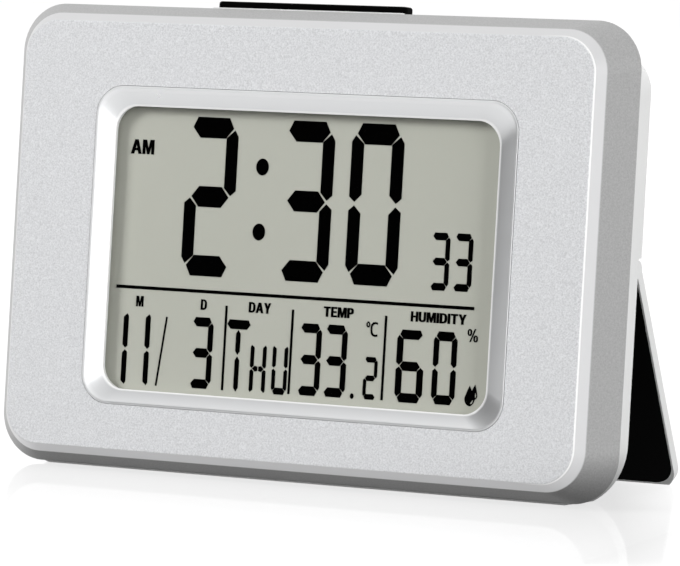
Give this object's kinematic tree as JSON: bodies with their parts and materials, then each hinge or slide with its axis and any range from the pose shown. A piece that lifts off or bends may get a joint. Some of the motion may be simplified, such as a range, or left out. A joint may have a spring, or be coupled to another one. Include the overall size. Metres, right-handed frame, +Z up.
{
  "type": "desk clock with thermometer and hygrometer",
  "caption": "Desk clock with a framed liquid crystal display of time, date, temperature and humidity, a snooze bar on top, keys and a battery bay behind, and a fold-out stand.",
  "frame": {"origin": "centre of the rear shell's flat underside, on the table", "axes": "+X to the right as the display is read, +Y to the back, +Z up; the case leans back 7 degrees"},
  "size_m": [0.1494, 0.0465, 0.1013],
  "materials": {
    "silver_abs": "satin silver with a fine metallic flake",
    "bezel_gloss": "bright gloss silver",
    "window": "clear acrylic",
    "lcd_glass": "polarised glass, grey green",
    "lcd_ink": "dark segments",
    "light_guide": "reflective grey green",
    "black_abs": "smooth black",
    "elastomer": "soft strip",
    "led_resin": "clear resin",
    "circuit_board": "green solder mask",
    "component_black": "moulded black",
    "sensor_case": "vented blue case",
    "switch_body": "moulded black",
    "bright_metal": "nickel plated steel",
    "cell_jacket": "plain dark jacket",
    "white_abs": "smooth white"
  },
  "bodies": {
    "case": {"front_housing": "silver_abs", "display_bezel": "bezel_gloss", "display_window": "window", "lcd_front_glass": "lcd_glass", "lcd_rear_glass": "lcd_glass", "lcd_segments": "lcd_ink", "light_guide": "light_guide", "lcd_frame": "black_abs", "connector_strip": "elastomer", "backlight_leds": "led_resin", "main_board": "circuit_board", "controller_chip": "component_black", "watch_crystal": "bright_metal", "buzzer": "component_black", "humidity_sensor": "sensor_case", "thermistor": "component_black", "key_switches": "switch_body", "snooze_switch": "switch_body", "board_screws": "bright_metal", "battery_cells": "cell_jacket", "minus_terminal": "bright_metal", "plus_terminal": "bright_metal", "link_contact": "bright_metal", "rear_shell": "white_abs", "case_screws": "bright_metal", "hinge_pins": "bright_metal"},
    "stand": {"stand": "white_abs", "stand_lining": "black_abs"},
    "snooze_bar": {"snooze_bar": "black_abs"},
    "key_mode": {"key_mode": "white_abs"},
    "key_alarm": {"key_alarm": "white_abs"},
    "key_up": {"key_up": "white_abs"},
    "key_unit": {"key_unit": "white_abs"},
    "key_down": {"key_down": "white_abs"},
    "battery_door": {"battery_door": "white_abs"}
  },
  "joints": [
    {"name": "stand_hinge", "type": "hinge", "parent": "case", "child": "stand", "pos_m": [0, 0.0109, 0.04816], "axis": [1, 0, 0], "range_deg": [-30.5, 0]},
    {"name": "snooze_press", "type": "slide", "parent": "case", "child": "snooze_bar", "axis": [0, -0.1219, -0.9925], "range_m": [0, 0.0008], "stiffness_N_per_m": 400, "springref_m": -0.001},
    {"name": "key_mode_press", "type": "slide", "parent": "case", "child": "key_mode", "axis": [0, -0.9925, 0.1219], "range_m": [0, 0.0005], "stiffness_N_per_m": 300, "springref_m": -0.001},
    {"name": "key_alarm_press", "type": "slide", "parent": "case", "child": "key_alarm", "axis": [0, -0.9925, 0.1219], "range_m": [0, 0.0005], "stiffness_N_per_m": 300, "springref_m": -0.001},
    {"name": "key_up_press", "type": "slide", "parent": "case", "child": "key_up", "axis": [0, -0.9925, 0.1219], "range_m": [0, 0.0005], "stiffness_N_per_m": 300, "springref_m": -0.001},
    {"name": "key_unit_press", "type": "slide", "parent": "case", "child": "key_unit", "axis": [0, -0.9925, 0.1219], "range_m": [0, 0.0005], "stiffness_N_per_m": 300, "springref_m": -0.001},
    {"name": "key_down_press", "type": "slide", "parent": "case", "child": "key_down", "axis": [0, -0.9925, 0.1219], "range_m": [0, 0.0005], "stiffness_N_per_m": 300, "springref_m": -0.001},
    {"name": "battery_door_pull", "type": "slide", "parent": "case", "child": "battery_door", "axis": [0, 0.9925, -0.1219], "range_m": [0, 0.012]}
  ]
}
